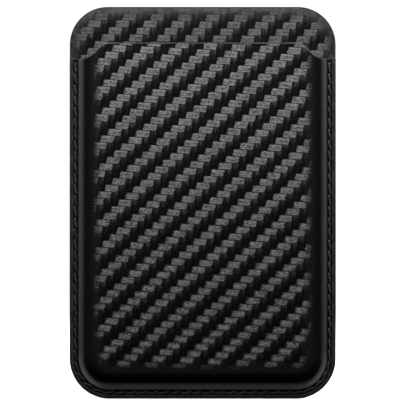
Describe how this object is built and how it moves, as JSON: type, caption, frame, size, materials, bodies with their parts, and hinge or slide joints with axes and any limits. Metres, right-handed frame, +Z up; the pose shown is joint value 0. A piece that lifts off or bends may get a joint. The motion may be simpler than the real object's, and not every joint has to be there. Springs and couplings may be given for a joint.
{
  "type": "magnetic card wallet",
  "caption": "Slim upright card wallet: a stitched, moulded leather pocket on a flat magnetic back panel with a thumb window.",
  "frame": {"origin": "centre of the magnet ring on the flat phone-side face", "axes": "+Z up towards the pocket's mouth, +X right as seen from the front, -Y out of the pocket's front face, +Y out of the phone-side face"},
  "size_m": [0.066, 0.0065, 0.0972],
  "materials": {
    "woven_leather": "embossed 2/2 twill weave, semi-gloss",
    "suede_leather": "matt, fine nap",
    "foam_board": "matt closed-cell foam",
    "nickel_magnet": "nickel plated",
    "zinc_steel": "cold-rolled, zinc plated",
    "edge_coat": "satin edge paint",
    "bonded_thread": "bonded polyester thread",
    "plastic_sheet": "matt sheet",
    "microfibre": "short nap"
  },
  "bodies": {
    "root": {"back_cover": "suede_leather", "magnet_carrier": "foam_board", "ring_magnet_01": "nickel_magnet", "ring_magnet_02": "nickel_magnet", "ring_magnet_03": "nickel_magnet", "ring_magnet_04": "nickel_magnet", "ring_magnet_05": "nickel_magnet", "ring_magnet_06": "nickel_magnet", "ring_magnet_07": "nickel_magnet", "ring_magnet_08": "nickel_magnet", "ring_magnet_09": "nickel_magnet", "ring_magnet_10": "nickel_magnet", "ring_magnet_11": "nickel_magnet", "ring_magnet_12": "nickel_magnet", "ring_magnet_13": "nickel_magnet", "ring_magnet_14": "nickel_magnet", "ring_magnet_15": "nickel_magnet", "ring_magnet_16": "nickel_magnet", "alignment_magnet": "nickel_magnet", "shield_plate": "zinc_steel", "back_panel_skin": "woven_leather", "window_edge_paint": "edge_coat", "front_lining": "microfibre", "front_stiffener": "plastic_sheet", "front_panel_skin": "woven_leather", "mouth_edge_paint": "edge_coat", "needle_thread": "bonded_thread", "bobbin_thread": "bonded_thread", "edge_paint": "edge_coat"}
  },
  "joints": []
}
